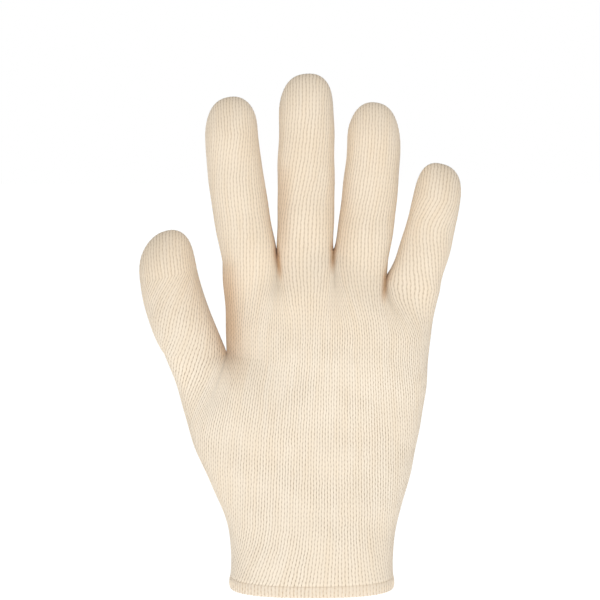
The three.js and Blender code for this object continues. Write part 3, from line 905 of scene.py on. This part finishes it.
def loop_tree(material):
    """Sets a bent thread on every point, turned outwards, and joins them to one mesh."""
    tree = bpy.data.node_groups.new("overlock_loops", "GeometryNodeTree")
    face = tree.interface
    face.new_socket("Points", in_out="INPUT", socket_type="NodeSocketGeometry")
    sizes = {}
    for name in ("Loop Height", "Half Width", "Bulge", "Low Point", "Thread Radius"):
        sizes[name] = face.new_socket(name, in_out="INPUT", socket_type="NodeSocketFloat").identifier
    face.new_socket("Loops", in_out="OUTPUT", socket_type="NodeSocketGeometry")
    given = add_node(tree, "NodeGroupInput").outputs
    made = add_node(tree, "NodeGroupOutput")

    def point(x, z):
        node = add_node(tree, "ShaderNodeCombineXYZ")
        feed(tree, node, 0, x)
        feed(tree, node, 2, z)
        return node.outputs[0]

    bend = add_node(tree, "GeometryNodeCurvePrimitiveBezierSegment")
    bend.inputs["Resolution"].default_value = LOOP_STEPS
    inside = calculate(tree, "MULTIPLY", given["Half Width"], -1.0)
    bulge_inside = calculate(tree, "MULTIPLY", given["Bulge"], -1.0)
    feed(tree, bend, "Start", point(inside, given["Loop Height"]))
    feed(tree, bend, "Start Handle", point(bulge_inside, given["Low Point"]))
    feed(tree, bend, "End Handle", point(given["Bulge"], given["Low Point"]))
    feed(tree, bend, "End", point(given["Half Width"], given["Loop Height"]))
    ring = add_node(tree, "GeometryNodeCurvePrimitiveCircle")
    ring.inputs["Resolution"].default_value = THREAD_SIDES
    feed(tree, ring, "Radius", given["Thread Radius"])
    thread = add_node(tree, "GeometryNodeCurveToMesh")
    feed(tree, thread, "Curve", bend.outputs[0])
    feed(tree, thread, "Profile Curve", ring.outputs[0])
    thread.inputs["Fill Caps"].default_value = True
    turn = add_node(tree, "GeometryNodeInputNamedAttribute", data_type="FLOAT")
    turn.inputs["Name"].default_value = "Turn"
    spin = add_node(tree, "ShaderNodeCombineXYZ")
    feed(tree, spin, 2, turn.outputs["Attribute"])
    size = add_node(tree, "FunctionNodeRandomValue", data_type="FLOAT")
    size.inputs[2].default_value = LOOP_SIZES[0]
    size.inputs[3].default_value = LOOP_SIZES[1]
    size.inputs["Seed"].default_value = LOOP_SEED
    spread = add_node(tree, "GeometryNodeInstanceOnPoints")
    feed(tree, spread, "Points", given["Points"])
    feed(tree, spread, "Instance", thread.outputs[0])
    feed(tree, spread, "Rotation", spin.outputs[0])
    feed(tree, spread, "Scale", size.outputs[1])
    joined = add_node(tree, "GeometryNodeRealizeInstances")
    feed(tree, joined, 0, spread.outputs[0])
    soft = add_node(tree, "GeometryNodeSetShadeSmooth")
    feed(tree, soft, "Geometry", joined.outputs[0])
    painted = add_node(tree, "GeometryNodeSetMaterial")
    feed(tree, painted, "Geometry", soft.outputs[0])
    painted.inputs["Material"].default_value = material
    feed(tree, made, 0, painted.outputs[0])
    return tree, sizes


thread_cotton = bpy.data.materials.new("cream_thread")
thread_cotton.use_nodes = True
thread_shader = thread_cotton.node_tree.nodes["Principled BSDF"]
thread_shader.inputs["Base Color"].default_value = (0.93, 0.825, 0.68, 1)
thread_shader.inputs["Roughness"].default_value = 0.9
thread_shader.inputs["Specular IOR Level"].default_value = 0.2

places, turns = loop_places()
seed_mesh = bpy.data.meshes.new("loop_points")
seed_mesh.from_pydata(places.tolist(), [], [])
seed_mesh.attributes.new("Turn", "FLOAT", "POINT").data.foreach_set("value", turns.astype(np.float32))
seeds = bpy.data.objects.new("loop_points", seed_mesh)
bpy.context.scene.collection.objects.link(seeds)
loops, loop_sizes = loop_tree(thread_cotton)
modifier = seeds.modifiers.new("loops", "NODES")
modifier.node_group = loops
modifier[loop_sizes["Loop Height"]] = LOOP_HEIGHT * MM
modifier[loop_sizes["Half Width"]] = LOOP_HALF_WIDTH * MM
modifier[loop_sizes["Bulge"]] = LOOP_BULGE * MM
modifier[loop_sizes["Low Point"]] = (4 * LOOP_LOW - LOOP_HEIGHT) / 3 * MM
modifier[loop_sizes["Thread Radius"]] = THREAD_RADIUS * MM
evaluated = seeds.evaluated_get(bpy.context.evaluated_depsgraph_get())
thread_mesh = bpy.data.meshes.new_from_object(evaluated)
thread_mesh.name = "hem_thread"
bpy.data.objects.remove(seeds)
hem_thread = bpy.data.objects.new("hem_thread", thread_mesh)
bpy.context.scene.collection.objects.link(hem_thread)
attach(hem_thread, "root")
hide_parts("hem_band")

# The photograph's view: a plain white floor well below the hem, a large soft light in front and above, a
# smaller one over the fingertips, and a long lens slightly above the glove's middle.
VIEW_TARGET = (-0.0053, 0.0, 0.1285)
VIEW_DISTANCE = 1.0
VIEW_ELEVATION = math.radians(7)
VIEW_WIDTH = 0.264
SENSOR_WIDTH = 36
FLOOR_HEIGHT = -0.25
FLOOR_REACH = 6
FLOOR_GLOW = 0.8
SURROUND_LIGHT = 0.3

camera_data = bpy.data.cameras.new("view")
camera_data.sensor_width = SENSOR_WIDTH
camera_data.lens = SENSOR_WIDTH * VIEW_DISTANCE / VIEW_WIDTH
camera = bpy.data.objects.new("view", camera_data)
camera.location = (
    VIEW_TARGET[0],
    VIEW_TARGET[1] - VIEW_DISTANCE * math.cos(VIEW_ELEVATION),
    VIEW_TARGET[2] + VIEW_DISTANCE * math.sin(VIEW_ELEVATION),
)
camera.rotation_euler = (math.pi / 2 - VIEW_ELEVATION, 0, 0)
bpy.context.scene.collection.objects.link(camera)
bpy.context.scene.camera = camera

floor_mesh = bpy.data.meshes.new("floor")
floor_sides = ((-1, -1), (1, -1), (1, 1), (-1, 1))
floor_corners = [(x * FLOOR_REACH, y * FLOOR_REACH, FLOOR_HEIGHT) for x, y in floor_sides]
floor_mesh.from_pydata(floor_corners, [], [(0, 1, 2, 3)])
floor = bpy.data.objects.new("floor", floor_mesh)
bpy.context.scene.collection.objects.link(floor)
floor_paint = bpy.data.materials.new("white_floor")
floor_paint.use_nodes = True
floor_shader = floor_paint.node_tree.nodes["Principled BSDF"]
floor_shader.inputs["Base Color"].default_value = (0.9, 0.9, 0.9, 1)
floor_shader.inputs["Roughness"].default_value = 0.9
floor_shader.inputs["Emission Color"].default_value = (1, 1, 1, 1)
floor_shader.inputs["Emission Strength"].default_value = FLOOR_GLOW
floor_mesh.materials.append(floor_paint)

world = bpy.data.worlds.new("studio")
world.use_nodes = True
surround = world.node_tree.nodes["Background"]
surround.inputs[0].default_value = (1, 1, 1, 1)
seen_directly = add_node(world.node_tree, "ShaderNodeLightPath").outputs["Is Camera Ray"]
surround_strength = ramp(world.node_tree, seen_directly, 0.0, 1.0, SURROUND_LIGHT, 1.0)
feed(world.node_tree, surround, 1, surround_strength)
bpy.context.scene.world = world


def softbox(name, place, target, size, power):
    """A round soft light at a place, turned to its target."""
    light_data = bpy.data.lights.new(name, "AREA")
    light_data.shape = "DISK"
    light_data.size = size
    light_data.energy = power
    light = bpy.data.objects.new(name, light_data)
    light.location = place
    away = np.array(target) - np.array(place)
    light.rotation_euler = (
        math.acos(-away[2] / np.linalg.norm(away)),
        0,
        math.atan2(away[1], away[0]) - math.pi / 2,
    )
    bpy.context.scene.collection.objects.link(light)


softbox("key_light", (-0.1, -1.4, 0.95), (0, 0, 0.12), 0.9, 9.8)
softbox("top_light", (0.1, -0.25, 1.2), (0, 0, 0.15), 0.5, 1.25)
bpy.context.scene.view_settings.view_transform = "Standard"
